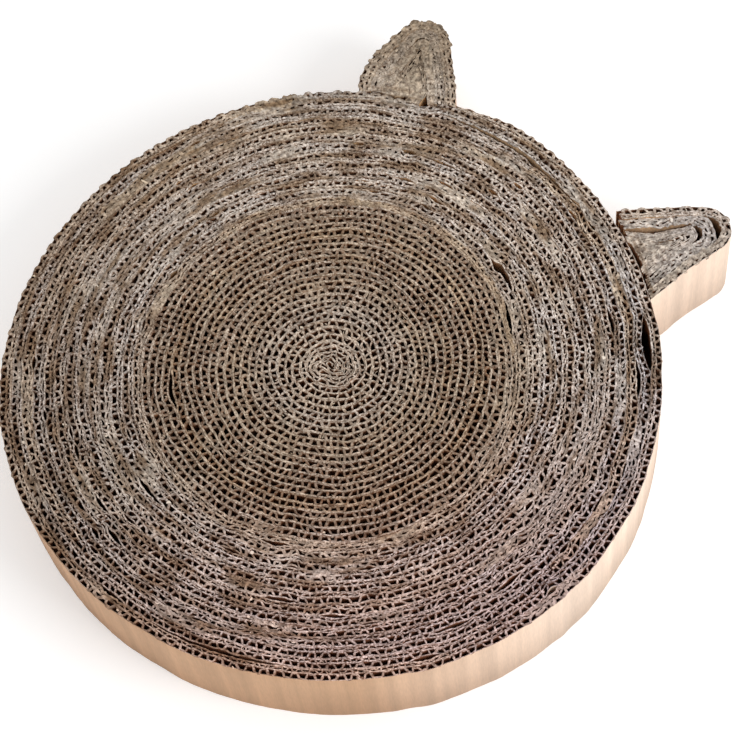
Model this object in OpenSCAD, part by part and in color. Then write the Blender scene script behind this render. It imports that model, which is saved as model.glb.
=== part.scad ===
/* [Coil] */
// Outer diameter of the coil, taken at the free end of its last strip
coil_d = 376; // [320:2:480]
// Height of the coil, which is the width that every strip is cut to
strip_h = 54; // [30:1:90]
// Diameter inside which the coil is wound from single-wall board
single_zone_d = 206.4; // [120:0.4:240]
/* [Board] */
// Thickness of the single-wall board, pressed as it lies in the coil
single_t = 3.75; // [3:0.05:5]
// Thickness of the double-wall board, pressed as it lies in the coil
double_t = 5.7; // [5:0.05:7.5]
// Gap between one layer and the next, which the glue fills
layer_gap = 0.45; // [0.3:0.05:0.8]
// Gap where one strip ends and the next one begins
joint_gap = 2; // [0.5:0.1:4]
/* [Outline] */
// How far the outer layers lean away from the middle to one side
lean = 3.2; // [0:0.1:6]
// Direction in which the outer layers lean
lean_angle = 211; // [0:1:359]
// How far the coil bulges at two opposite sides
oval = 1.9; // [0:0.1:4]
// Direction of one of the two opposite bulges
oval_angle = 160; // [0:1:179]
// How far the coil bulges at three sides
lobe = 2; // [0:0.1:4]
// Direction of one of the three bulges
lobe_angle = 111; // [0:1:119]
/* [Ears] */
// Angle between the two ears, seen from the middle of the coil
ear_spread = 56; // [46:1:90]
// How far an ear's tip stands out from the coil
ear_reach = 52; // [44:1:80]
// Outer radius of an ear's rounded tip
ear_tip_r = 16; // [12:0.5:20]
// Angle by which each side of an ear flares out towards the coil
ear_flare = 17; // [14:0.5:22]
// Least outer radius of a strip that is folded inside an ear
fold_r = 4; // [2:0.5:6]
// Least inner radius of a folded strip
crease_r = 0.6; // [0.3:0.1:1]
// Hollow left at the tip of the right ear, under its outer strip
right_tip_hollow = 5; // [0:0.5:8]
// Gap between an ear's cut ends and the coil, which the glue fills
seat_gap = 0.3; // [0.2:0.05:0.6]
/* [Hidden] */
coil_r = coil_d / 2;
single_zone_r = single_zone_d / 2;
single_pitch = single_t + layer_gap;
double_pitch = double_t + layer_gap;
// The winding is counted in turns from the middle. The first double-wall turn is
// squeezed to the single-wall thickness where it starts and is full at its end.
single_turns = single_zone_r / single_pitch;
full_turn = single_turns + 1;
full_r = full_turn * single_pitch;
end_turn = single_turns + (coil_r + layer_gap - full_r) / double_pitch;
double_turns = end_turn - single_turns;
// Straight facets of the coil in one turn, which all layers share
steps = 60;
// Circular measure, degrees for one radius of arc
radian = 180 / PI;

left_ear_angle = 90 + ear_spread / 2;
right_ear_angle = 90 - ear_spread / 2;
ear_centre = coil_r + ear_reach - ear_tip_r;
// Straight facets round an ear's tip, and along the base of an ear's core
tip_steps = 16;
base_steps = 6;
// Rounds of working out where an ear's side meets the coil
seat_rounds = 6;

// The last strip of the coil stops just short of the left ear.
seat_r = coil_r - double_pitch;
end_angle = left_ear_angle - atan2(side_x(ear_tip_r, seat_r), seat_r) - joint_gap / coil_r * radian;

// Single-wall strips, and how far each one's end strays from an even spacing
single_count = 16;
single_stray_share = 0.22;
stray_angle = 137.5;
// Ends of the double-wall strips, as shares of their whole length
double_end_shares = [
    0.019, 0.056, 0.094, 0.132, 0.16, 0.184, 0.213, 0.245, 0.274, 0.304, 0.331, 0.36, 0.391,
    0.424, 0.448, 0.472, 0.505, 0.525, 0.552, 0.578, 0.61, 0.629, 0.66, 0.695, 0.734, 0.758,
    0.782, 0.806, 0.852, 0.873, 0.912, 0.963, 0.982, 1
];
double_count = len(double_end_shares);
// Two crushed strips inside an ear, as shares of the half width that is left there
crushed_shares = [0.27, 0.27];
ear_strip_names = ["outer_strip", "second_strip", "third_strip", "fourth_strip", "core"];

// Colours of the cut edges: tan, and towards grey and towards yellow
tan_tone = [0.67, 0.6, 0.52];
grey_tone = [0.62, 0.58, 0.54];
straw_tone = [0.72, 0.62, 0.48];

function numbered(stem, i) = str(stem, i < 9 ? "_0" : "_", i + 1);
single_names = [for (i = [0:single_count - 1]) numbered("single_strip", i)];
double_names = [for (i = [0:double_count - 1]) numbered("double_strip", i)];
left_ear_names = [for (name = ear_strip_names) str("left_ear_", name)];
right_ear_names = [for (name = ear_strip_names) str("right_ear_", name)];

// Radius of the inner face of the winding, before the outline's bulges are added
function wound_r(turn) =
    turn < full_turn ? turn * single_pitch : full_r + (turn - full_turn) * double_pitch;

// Direction of a point of the winding, from the middle of the coil
function wound_angle(turn) = end_angle - (end_turn - turn) * 360;

// Radius with the lean and the bulges, which grow from the middle outwards
function shaped_r(r, a) =
    r + lean * sqrt(r / coil_r) * cos(a - lean_angle)
    + r / coil_r * (oval * cos(2 * (a - oval_angle)) + lobe * cos(3 * (a - lobe_angle)));

function polar(r, a) = [r * cos(a), r * sin(a)];

// A point on the inner face of a layer, and one on its outer face, at a whole step
function inner_corner(step) =
    let (turn = step / steps, a = wound_angle(turn))
    polar(shaped_r(wound_r(turn), a), a);
function outer_corner(step) =
    let (turn = step / steps, a = wound_angle(turn))
    polar(shaped_r(wound_r(turn + 1) - layer_gap, a), a);

// The same at any step, on the straight facet between two corners
function inner_point(step) =
    let (i = floor(step), k = step - i)
    inner_corner(i) * (1 - k) + inner_corner(i + 1) * k;
function outer_point(step) =
    let (i = floor(step), k = step - i)
    outer_corner(i) * (1 - k) + outer_corner(i + 1) * k;

// The given ends, and every whole step between them
function steps_between(from, to) =
    concat([from], [for (i = [floor(from) + 1:ceil(to) - 1]) i], [to]);

// A strip from one turn of the winding to another, with the inner face cut off
// before the first full turn, so that the middle of the coil is solid
module wound_strip(from_turn, to_turn) {
    from = from_turn * steps;
    to = to_turn * steps;
    outer_way = steps_between(from, to);
    inner_way = steps_between(max(from, steps), to);
    last = len(inner_way) - 1;
    linear_extrude(height = strip_h)
        polygon(concat(
            [for (s = outer_way) outer_point(s)],
            [for (i = [0:last]) inner_point(inner_way[last - i])]
        ));
}

// Half of the gap between two strips at a turn, in turns
function half_joint(turn) = joint_gap / 2 / wound_r(turn + 1 / 2) * radian / 360;

// The turn at which a single-wall strip ends: strips of about the same length
function single_end(i) =
    i < 0 ? 0
    : i == single_count - 1 ? single_turns
    : single_turns * sqrt((i + 1 + single_stray_share * sin(stray_angle * (i + 1))) / single_count);

// The turn at which a double-wall strip ends. The length wound so far grows with the
// square of the radius, from the single-wall zone to the rim.
zone_ratio = coil_r / single_zone_r;
function double_end(i) =
    let (length_share = i < 0 ? 0 : double_end_shares[i])
    single_turns
    + double_turns * (sqrt(1 + length_share * (zone_ratio * zone_ratio - 1)) - 1) / (zone_ratio - 1);

module single_strip(i) {
    from = single_end(i - 1);
    to = single_end(i);
    color(i % 3 == 0 ? grey_tone : tan_tone)
        wound_strip(i == 0 ? 0 : from + half_joint(from), to - half_joint(to));
}

module double_strip(i) {
    from = double_end(i - 1);
    to = double_end(i);
    color(i % 4 == 1 ? straw_tone : i % 3 == 0 ? grey_tone : tan_tone)
        wound_strip(from + half_joint(from), i == double_count - 1 ? to : to - half_joint(to));
}

// Half width of an ear at a distance from the middle of the coil. The reach of a side
// is its distance from the centre of the tip's round, less than nothing past it.
function side_x(reach, y) = (reach + (ear_centre - y) * sin(ear_flare)) / cos(ear_flare);

// Radius of the coil's outside in a direction
function surface_r(a) =
    let (back = (end_angle - a) / 360, turn = end_turn - (back - floor(back)))
    shaped_r(wound_r(turn + 1) - layer_gap, a);

// Where a side of an ear meets the coil, found again from its last place each round
function seat_y(reach, side, ear_angle, y, rounds) =
    rounds == 0 ? y
    : let (
        x = side * side_x(reach, y),
        r = surface_r(ear_angle - atan2(x, y)) + seat_gap
    )
    seat_y(reach, side, ear_angle, sqrt(r * r - x * x), rounds - 1);

function seat_point(reach, side, ear_angle) =
    let (y = seat_y(reach, side, ear_angle, coil_r, seat_rounds))
    [side * side_x(reach, y), y];

// One face of a folded strip: up the left side, round the tip and down the right side
function fold_line(reach, tip_r, ear_angle) =
    let (y = ear_centre - (tip_r - reach) / sin(ear_flare))
    concat(
        [seat_point(reach, -1, ear_angle)],
        [for (i = [0:tip_steps])
            let (a = 180 - ear_flare - (180 - 2 * ear_flare) * i / tip_steps)
            [0, y] + polar(tip_r, a)],
        [seat_point(reach, 1, ear_angle)]
    );

function backwards(list) = [for (i = [1:len(list)]) list[len(list) - i]];

// Room between the two outer strips of an ear, at its base
inside_reach = ear_tip_r - 2 * double_pitch;
inside_half = inside_reach + (ear_centre - coil_r) * sin(ear_flare);
ear_thicknesses = [double_t, double_t, crushed_shares[0] * inside_half, crushed_shares[1] * inside_half];

// Distance of a strip's outer face from the centre of the tip's round
function strip_reach(k) = k == 0 ? ear_tip_r : strip_reach(k - 1) - ear_thicknesses[k - 1] - layer_gap;

// Outer radius of a strip's fold, blunter where a hollow is left under the outer strip
function strip_tip_r(k, hollow) =
    k == 0 ? ear_tip_r
    : max(fold_r, strip_reach(k) + hollow * sin(ear_flare) / (1 - sin(ear_flare)));

module ear_strip(k, ear_angle, hollow) {
    reach = strip_reach(k);
    tip_r = strip_tip_r(k, hollow);
    thickness = ear_thicknesses[k];
    rotate([0, 0, ear_angle - 90])
        linear_extrude(height = strip_h)
            polygon(concat(
                fold_line(reach, tip_r, ear_angle),
                backwards(fold_line(reach - thickness, max(crease_r, tip_r - thickness), ear_angle))
            ));
}

// The wedge of crushed board that fills the innermost fold
module ear_core(ear_angle, hollow) {
    k = len(ear_thicknesses);
    line = fold_line(strip_reach(k), strip_tip_r(k, hollow), ear_angle);
    left = line[0];
    right = line[len(line) - 1];
    left_angle = atan2(left[0], left[1]);
    right_angle = atan2(right[0], right[1]);
    base = [for (i = [1:base_steps - 1])
        let (a = right_angle + (left_angle - right_angle) * i / base_steps)
        (surface_r(ear_angle - a) + seat_gap) * [sin(a), cos(a)]];
    rotate([0, 0, ear_angle - 90])
        linear_extrude(height = strip_h)
            polygon(concat(line, base));
}

module ear_piece(k, ear_angle, hollow) {
    color(k == 0 ? straw_tone : k % 2 == 0 ? grey_tone : tan_tone)
        if (k < len(ear_thicknesses))
            ear_strip(k, ear_angle, hollow);
        else
            ear_core(ear_angle, hollow);
}

// Least gap between a layer and the next one, measured on their corners
least_gap = min([for (s = [0:floor((end_turn - 1) * steps)])
    norm(outer_corner(s) - inner_corner(s + steps))]);
echo(least_gap = least_gap);

for (i = [0:single_count - 1])
    single_strip(i);
for (i = [0:double_count - 1])
    double_strip(i);
for (k = [0:len(left_ear_names) - 1])
    ear_piece(k, left_ear_angle, 0);
for (k = [0:len(right_ear_names) - 1])
    ear_piece(k, right_ear_angle, right_tip_hollow);
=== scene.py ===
"""A round cat scratcher wound from corrugated cardboard, with two folded ears.

Every strip of board is built as it is made: flat liners with fluted paper between them,
set on edge and wound or folded along its path. Sizes are metres in the part's frame, unless
a comment gives them in millimetres.
"""

import bpy
import numpy as np
from bpy.props import FloatProperty, FloatVectorProperty, IntProperty, PointerProperty
from mathutils import Matrix, Vector


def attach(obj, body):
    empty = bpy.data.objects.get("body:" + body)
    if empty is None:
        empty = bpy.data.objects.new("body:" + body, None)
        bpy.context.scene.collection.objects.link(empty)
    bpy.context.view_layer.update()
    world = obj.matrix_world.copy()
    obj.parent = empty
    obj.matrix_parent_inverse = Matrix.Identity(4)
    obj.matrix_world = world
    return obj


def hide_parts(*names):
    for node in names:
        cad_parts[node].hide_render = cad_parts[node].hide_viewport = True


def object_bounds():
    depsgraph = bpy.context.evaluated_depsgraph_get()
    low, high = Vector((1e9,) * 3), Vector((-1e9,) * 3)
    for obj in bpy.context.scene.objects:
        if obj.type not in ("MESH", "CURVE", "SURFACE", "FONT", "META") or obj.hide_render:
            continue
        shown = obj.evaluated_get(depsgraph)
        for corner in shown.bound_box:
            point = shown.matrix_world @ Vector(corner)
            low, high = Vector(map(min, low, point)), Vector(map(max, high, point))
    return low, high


bl_info = {
    "name": "Cardboard Cat Scratcher",
    "version": (1, 0, 0),
    "blender": (4, 5, 0),
    "location": "3D View > Sidebar > Scratcher",
    "description": "Winds a cat scratcher from corrugated strips and folds its ears",
    "category": "Add Mesh",
}

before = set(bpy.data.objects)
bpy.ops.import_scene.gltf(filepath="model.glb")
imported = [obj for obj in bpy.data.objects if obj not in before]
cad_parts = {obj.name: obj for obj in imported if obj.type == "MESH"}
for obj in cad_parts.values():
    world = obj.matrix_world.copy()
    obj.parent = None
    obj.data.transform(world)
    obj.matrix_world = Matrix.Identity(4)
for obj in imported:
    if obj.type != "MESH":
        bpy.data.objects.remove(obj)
CAD_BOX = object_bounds()
STRIP_H = CAD_BOX[1][2] - CAD_BOX[0][2]

MM = 0.001
TURN = 2 * np.pi
SEED = 41


def shade(red, green, blue):
    """A colour given as display values from 0 to 255, as the linear values that shaders take."""
    value = np.array([red, green, blue]) / 255
    return tuple(np.where(value <= 0.04045, value / 12.92, ((value + 0.055) / 1.055) ** 2.4))


# Settings


def length_setting(name, description, millimetres):
    default = millimetres * MM
    return FloatProperty(name=name, description=description, default=default, unit="LENGTH")


def angle_setting(name, description, degrees):
    default = np.radians(degrees)
    return FloatProperty(name=name, description=description, default=default, unit="ROTATION")


def colour_setting(name, description, *display):
    return FloatVectorProperty(
        name=name, description=description, subtype="COLOR", default=shade(*display), min=0, max=1)


class CoilSizes(bpy.types.PropertyGroup):
    """Sizes of the coil, the same as those of the solids."""

    diameter: length_setting("Diameter", "Outer diameter at the free end of the last strip", 376)
    single_zone: length_setting(
        "Single-wall zone", "Diameter that is wound from single-wall board", 206.4)
    single_pitch: length_setting(
        "Single-wall layer", "Thickness of a single-wall layer with its glue", 4.2)
    double_pitch: length_setting(
        "Double-wall layer", "Thickness of a double-wall layer with its glue", 6.15)
    glue: length_setting("Glue", "Gap that the solids leave between two layers", 0.45)
    joint: length_setting("Joint", "Gap between the end of a strip and the start of the next", 2)
    lean: length_setting("Lean", "How far the outer layers lean to one side", 3.2)
    oval: length_setting("Oval", "How far the coil bulges at two opposite sides", 1.9)
    lobe: length_setting("Lobe", "How far the coil bulges at three sides", 2)


class BoardSizes(bpy.types.PropertyGroup):
    """Sizes of the corrugated board."""

    liner: length_setting("Liner", "Thickness of a flat paper of the board", 0.38)
    medium: length_setting("Medium", "Thickness of the fluted paper of the board", 0.42)
    flare: FloatProperty(
        name="Flare", description="How many times thicker a paper's frayed cut edge is",
        default=2.3, min=1)
    large_flute: length_setting("Large flute", "Length of one wave of the large flutes", 8.1)
    small_flute: length_setting("Small flute", "Length of one wave of the small flutes", 6.3)
    fray: length_setting("Fray", "How far a cut edge bends and frays at the top", 0.29)
    scrap_step: length_setting("Scrap step", "Length of board for each torn scrap of paper", 3)
    seed: IntProperty(name="Seed", description="Seed of every random choice", default=SEED)


class EarSizes(bpy.types.PropertyGroup):
    """Sizes of the two ears, the same as those of the solids."""

    spread: angle_setting(
        "Spread", "Angle between the ears, seen from the middle of the coil", 56)
    reach: length_setting("Reach", "How far an ear's tip stands out from the coil", 52)
    tip_radius: length_setting("Tip radius", "Outer radius of an ear's rounded tip", 16)
    flare: angle_setting("Flare", "Angle by which each side flares out towards the coil", 17)


class PaperColours(bpy.types.PropertyGroup):
    """Colours of the cardboard."""

    cut_edge: colour_setting("Cut edge", "Fuzzy cut edges of all papers", 252, 241, 233)
    cut_dark: colour_setting("Cut edge, dark", "Darker fibres in the cut edges", 120, 101, 86)
    crushed: colour_setting("Crushed edge", "Crushed and torn stretches", 247, 233, 215)
    cell: colour_setting("Cell wall", "Walls of the flutes, below the cut", 146, 100, 70)
    # Painted light: the lining is kraft painted far paler than the liner face, standing for light
    # falling into the partings
    lining: colour_setting("Lining", "Liner faces that show where two layers part", 246, 210, 166)
    face: colour_setting("Liner face", "Smooth outer faces of the brown liners", 212, 170, 134)
    # Pale faces lie towards the lit right side: partly paler liners, partly painted light
    pale_lit_face: colour_setting(
        "Pale liner face", "Smooth outer faces of the pale liners", 242, 217, 196)


class StageSizes(bpy.types.PropertyGroup):
    """The photographer's floor, lamps and camera."""

    lens: FloatProperty(
        name="Lens", description="Focal length on a 36 mm sensor, in millimetres", default=108)
    distance: length_setting(
        "Distance", "From the camera to the point that it looks at", 1248.84)
    azimuth: angle_setting("Azimuth", "Turn of the view about the upright axis", 49.3)
    elevation: angle_setting(
        "Elevation", "Height of the view above the floor, as an angle", 62.0775)
    roll: angle_setting("Roll", "Turn of the picture about the line of sight", -8.947)
    aim: FloatVectorProperty(
        name="Aim", description="Point that the camera looks at", subtype="TRANSLATION",
        default=(22.18 * MM, 10.22 * MM, STRIP_H))
    floor: FloatVectorProperty(
        name="Floor", description="Colour of the floor", subtype="COLOR",
        default=(0.9, 0.9, 0.9), min=0, max=1)


# Random curves and fields


def ease(x):
    """Smooth step from 0 to 1: three times the square less twice the cube."""
    x = np.clip(x, 0, 1)
    return x * x * (3 - 2 * x)


def bell(x):
    """Bell curve from 1 at 0 down to 0: the exponential of less the square."""
    return np.exp(-(x**2))


def wobble(rng, x, spacing):
    """Smooth random curve of unit spread: random values at even knots, eased in between."""
    place = (x - x.min()) / spacing
    knots = rng.standard_normal(int(place.max()) + 3)
    low = place.astype(int)
    return knots[low] + (knots[low + 1] - knots[low]) * ease(place - low)


class Wander:
    """A random shift of the whole plan that all strips share, so that they stay nested.

    It is a sum of plane waves with seeded directions, lengths and phases.
    """

    def __init__(self, rng, count=36, shortest=12 * MM, longest=70 * MM, spread=0.42 * MM):
        turn = rng.uniform(0, TURN, count)
        length = np.geomspace(shortest, longest, count)
        self.waves = TURN / length * np.array([np.cos(turn), np.sin(turn)])
        self.phases = rng.uniform(0, TURN, (2, count))
        size = (length / longest) ** 0.6
        self.sizes = size * spread * np.sqrt(2 / np.sum(size**2))

    def __call__(self, x, y):
        angle = np.outer(x, self.waves[0]) + np.outer(y, self.waves[1])
        return [np.sin(angle + phases) @ self.sizes for phases in self.phases]


class Patches:
    """Random stretches along the layers: the sum of waves that run in radius and angle."""

    def __init__(self, rng, count=28, shortest=9 * MM, longest=45 * MM, rounds=18):
        self.radial = TURN / rng.uniform(shortest, longest, count) * rng.choice([-1, 1], count)
        self.rounds = rng.integers(1, rounds, count)
        self.phases = rng.uniform(0, TURN, count)

    def __call__(self, radius, angle):
        waves = np.outer(radius, self.radial) + np.outer(angle, self.rounds) + self.phases
        return np.sin(waves).sum(axis=1) * np.sqrt(2 / len(self.phases))


# The winding of the coil

LEAN_ANGLE, OVAL_ANGLE, LOBE_ANGLE = np.radians((211, 160, 111))
# Single-wall strips: their number, and how far and in what rhythm their ends stray
SINGLE_COUNT = 16
SINGLE_STRAY_SHARE, STRAY_ANGLE = 0.22, np.radians(137.5)
# Shares of the double-wall board's length at which its strips end
DOUBLE_END_SHARES = (
    0.019, 0.056, 0.094, 0.132, 0.16, 0.184, 0.213, 0.245, 0.274, 0.304, 0.331, 0.36, 0.391,
    0.424, 0.448, 0.472, 0.505, 0.525, 0.552, 0.578, 0.61, 0.629, 0.66, 0.695, 0.734, 0.758,
    0.782, 0.806, 0.852, 0.873, 0.912, 0.963, 0.982, 1,
)
# Direction of the photograph's view, from which the angles in the next tables are counted
VIEW_ANGLE = 49.3
# Slits, falls and the ears' partings follow a lens along their layer, raised to this power
LENS_POWER = 0.75

# Where two layers part: angle in degrees, radius, half length and width in millimetres
SLITS = (
    (179.5, 89.5, 14.5, 3.0), (7.5, 104.8, 14, 2.4), (0, 157.7, 10, 2.4),
    (-5.5, 177, 18, 5.2), (-13, 169.6, 13, 2.6), (22, 110.5, 14, 3.2), (57, 148, 18, 1.3),
    (65, 148, 5, 4.0), (-117.7, 179, 42, 1.9), (43, 172.5, 60, 1.4), (-26.5, 111, 4, 3.2),
    (76.4, 145, 4, 3.6), (-82, 179.5, 9, 2.6), (137.6, 110.6, 4, 2.6), (53, 123, 6, 2.6),
    (-57.7, 180, 4, 2.8), (-97.5, 151, 7, 2.5), (-114, 111.6, 9, 2.3),
    (-108.7, 140.4, 10, 2.3), (-152, 124, 13, 2.4), (-147.7, 154, 8, 2.5),
    (-139.6, 176, 11, 2.1), (-155.8, 150, 7, 2.3), (-63, 164, 10, 2.2), (-76, 171, 12, 2.2),
    (169, 169, 4, 2.8), (116.5, 121, 4, 2.8), (111, 171, 4, 2.6), (22, 170, 4, 2.6),
    (39, 157, 4, 2.8), (42, 141, 4, 2.8), (24.8, 112.5, 4, 2.8), (70, 116, 4, 2.6),
    (-42.7, 160.6, 4, 2.8), (-51, 170, 4, 2.8), (-83.4, 121, 4, 2.8), (-48, 138, 4, 2.6),
    (-55, 152, 4, 2.6), (-151, 162.5, 4, 2.8), (-179, 160, 4, 2.8), (-148, 168, 4, 2.6),
)
# Where the layers on the camera's side of a slit lie lower: the same, with the drop instead
FALLS = (
    (43, 172.5, 60, 3.2), (57, 148, 18, 1.8), (65, 148, 6, 1.8), (-82, 179.5, 9, 1.2),
    (-76, 171, 12, 1), (-63, 164, 10, 0.7), (-117.7, 179, 42, 1), (22, 110.5, 10, 1),
)
# Where layers are crushed: angle, radius, half length, half width, share of squeeze
CRUSHES = (
    (-16, 104, 56, 7, 0.5), (155, 132, 32, 5, 0.4), (120, 134, 24, 7, 0.4),
    (158, 155, 14, 4, 0.35), (101, 172, 36, 4, 0.35), (-36, 150, 60, 9, 0.45),
    (-164, 131, 40, 6, 0.4), (60, 122, 6, 4, 0.4), (-100, 112, 60, 5, 0.35),
    (-112, 164, 30, 5, 0.35),
)


class Winding:
    """The spiral of the coil.

    A place on it has a turn, counted from the middle, and a share of the layer's thickness,
    from 0 at the inner face to 1 at the inner face of the next layer.
    """

    table_steps = 24001
    # The roll at the middle: where it ends, its pitch and radius, how crushed and how far and
    # which way squashed it is, and the part of a turn that is left out at its start
    roll_turn, roll_pitch, roll_radius = 4, 2.9 * MM, 14 * MM
    roll_crush, roll_squash, roll_angle, roll_start = 0.2, 0.34, np.radians(-70), 0.25
    # The free end of the last strip gets thinner, and the left ear presses it in
    tail_length, tail_share = 42 * MM, 0.4
    press_angle, press_width, press_power = np.radians(124.8), np.radians(13.6), 1.6
    press_depth, press_reach = 4.8 * MM, 16 * MM
    # Small random slits: their number and the limits of their radius, as squared shares of
    # the coil's, and of their half length and width in millimetres
    small_slits, small_limits = 55, ((0.33, 0.84), (2.5, 6), (0.9, 2.2))
    # How far slits and falls reach across the layers. Slits open inwards near the rim: over
    # what distance that grows, how far from the rim it is full, and how much it is. The
    # papers leave a share of each joint open.
    slit_reach, fall_fade = 9 * MM, 0.6
    rim_reach, rim_full, rim_share = 14 * MM, 2 * MM, 0.38
    joint_share = 0.15
    # Random crushed places: the field's limit, what the far side adds, the field's weight,
    # the share that is left in the single-wall zone and the distance over which it changes.
    # Each listed one is a little more crushed than it is squeezed.
    field_limit, field_far, field_weight = 0.95, 0.5, 0.8
    field_inside, field_fade, least_crush = 0.3, 12 * MM, 0.15
    # How much less the layers wander near the rim, from where on and over what distance
    rim_calm, calm_reach, calm_fade = 0.6, 22 * MM, 18 * MM

    def __init__(self, sizes, seed, end_angle):
        rng = np.random.default_rng(seed)
        self.sizes = sizes
        self.wander = Wander(rng)
        self.roll_wander = Wander(rng, 16, shortest=6 * MM, longest=18 * MM, spread=1 * MM)
        self.patches = Patches(rng)
        self.coil_r = sizes.diameter / 2
        self.single_turns = sizes.single_zone / 2 / sizes.single_pitch
        self.full_turn = self.single_turns + 1
        self.full_r = self.full_turn * sizes.single_pitch
        last_r = self.coil_r + sizes.glue - self.full_r
        self.end_turn = self.full_turn - 1 + last_r / sizes.double_pitch
        self.end_angle = end_angle
        self.first_turn = self.roll_turn * (1 - sizes.single_pitch / self.roll_pitch)
        self.first_turn += self.roll_start
        turns = np.linspace(self.first_turn, self.end_turn, self.table_steps)
        middle = (self.inner(turns) + self.inner(turns + 1)) / 2
        steps = (middle[1:] + middle[:-1]) / 2 * np.diff(turns) * TURN
        self.turn_table = turns
        self.length_table = np.concatenate([[0], np.cumsum(steps)])
        self.slits = self.located(np.concatenate([np.array(SLITS, float), self.small(rng)]))
        self.falls = self.located(np.array(FALLS, float))
        self.crushes = np.array(CRUSHES, float)
        self.crushes[:, 0] = np.radians(self.crushes[:, 0] + VIEW_ANGLE)
        self.crushes[:, 1:4] *= MM

    def small(self, rng):
        """Small random slits, in the order of the table's columns."""
        area, half, width = self.small_limits
        radius = np.sqrt(rng.uniform(*area, self.small_slits)) * self.coil_r / MM
        angle = rng.uniform(-180, 180, self.small_slits)
        rest = [rng.uniform(*limits, self.small_slits) for limits in (half, width)]
        return np.stack([angle, radius, *rest], axis=1)

    def located(self, marks):
        """Marks with the turn of the nearest layer's inner face in place of the angle."""
        marks = marks * [1, MM, MM, MM]
        angle = np.radians(marks[:, 0] + VIEW_ANGLE)
        radius = 2 * marks[:, 1] - self.shaped(marks[:, 1], angle)
        turn = (angle - self.end_angle) / TURN + self.end_turn
        layers = turn - np.floor(turn) + np.arange(np.ceil(self.end_turn))[:, None]
        nearest = np.abs(self.inner(layers) - radius).argmin(axis=0)
        marks[:, 0] = layers[nearest, np.arange(len(marks))]
        return marks

    def inner(self, turn):
        """Radius of a layer's inner face: the pitch times the turn, in each of three zones."""
        wide = self.full_r + (turn - self.full_turn) * self.sizes.double_pitch
        radius = np.where(turn < self.full_turn, turn * self.sizes.single_pitch, wide)
        roll = self.roll_turn * self.sizes.single_pitch - (self.roll_turn - turn) * self.roll_pitch
        return np.maximum(np.where(turn < self.roll_turn, roll, radius), 0)

    def angle(self, turn):
        return self.end_angle - (self.end_turn - turn) * TURN

    def length(self, turn):
        return np.interp(turn, self.turn_table, self.length_table)

    def turn(self, length):
        return np.interp(length, self.length_table, self.turn_table)

    def shaped(self, radius, angle):
        """Radius with the lean and bulges of the outline, which grow from the middle out."""
        s = self.sizes
        lean = s.lean * np.sqrt(np.maximum(radius, 0) / self.coil_r) * np.cos(angle - LEAN_ANGLE)
        bulge = s.oval * np.cos(2 * (angle - OVAL_ANGLE))
        bulge += s.lobe * np.cos(3 * (angle - LOBE_ANGLE))
        return radius + lean + radius / self.coil_r * bulge

    def pressed(self, radius, angle):
        """How far the layers are pressed in under the left ear, less for those further in."""
        side = (self.press_angle - angle) % TURN / self.press_width
        curve = np.sin(np.pi * np.clip(side, 0, 1) ** self.press_power)
        deep = np.maximum(self.coil_r - self.sizes.double_pitch - radius, 0)
        return self.press_depth * curve * np.exp(-deep / self.press_reach)

    def beside(self, marks, turn, share):
        """For each mark, its lens along the layer, the layers across and the outer side."""
        start, radius, half, _ = marks.T
        along = turn[:, None] - start
        layers = np.round(along)
        lens = np.clip(1 - ((along - layers) * TURN * radius / half) ** 2, 0, 1) ** LENS_POWER
        return lens, np.abs(layers + share[:, None]), layers > -0.5

    def parted(self, turn, share):
        """Radial shift beside the slits: half the width at the slit, less further from it.

        Along the slit it follows a lens, and across the layers it fades as an exponential. A
        slit near the rim opens inwards for the most part.
        """
        lens, across, outer = self.beside(self.slits, turn, share)
        radius, width = self.slits[:, 1], self.slits[:, 3]
        near_rim = ease((radius - self.coil_r + self.rim_reach + self.rim_full) / self.rim_reach)
        out_share = 0.5 - self.rim_share * near_rim
        side = np.where(outer, out_share, out_share - 1)
        fade = np.exp(-across * self.sizes.double_pitch / self.slit_reach)
        return np.sum(side * width * lens * fade, axis=1)

    def fall(self, turn, share):
        """How much lower the cut edges lie beside the falls, on the side nearer the camera."""
        lens, across, outer = self.beside(self.falls, turn, share)
        far = np.sin(self.angle(self.falls[:, 0]) - np.radians(VIEW_ANGLE)) > 0
        drop = self.falls[:, 3] * (outer != far)
        return np.sum(drop * lens * np.exp(-across / self.fall_fade), axis=1)

    def crush_weight(self, radius, angle):
        """For each crushed stretch, from 1 at its middle to 0, and the distance across it."""
        middle, mid_radius, half, width, share = self.crushes.T
        away = (angle[:, None] - middle + np.pi) % TURN - np.pi
        across = (radius[:, None] - mid_radius) / width
        along = away * mid_radius / half
        return bell(across) * np.exp(-(along**4)), across * width, share

    def crush(self, turn, share):
        """How crushed the board is at a place, from 0 to 1."""
        radius = self.inner(turn) * (1 - share) + self.inner(turn + 1) * share
        weight, _, squeeze = self.crush_weight(radius, self.angle(turn))
        roll = self.roll_crush * bell(radius / self.roll_radius)
        outside = radius - self.sizes.single_zone / 2 + self.field_fade / 2
        outside = ease(outside / self.field_fade)
        zone = self.field_inside + (1 - self.field_inside) * outside
        far = radius / self.coil_r * np.sin(self.angle(turn) - np.radians(VIEW_ANGLE))
        field = self.patches(radius, self.angle(turn)) - self.field_limit
        field = (field + self.field_far * np.maximum(far, 0)) * self.field_weight
        random = np.clip(field, 0, self.field_weight) * zone
        return np.clip(np.sum(weight * (self.least_crush + squeeze), axis=1) + roll + random, 0, 1)

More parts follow.
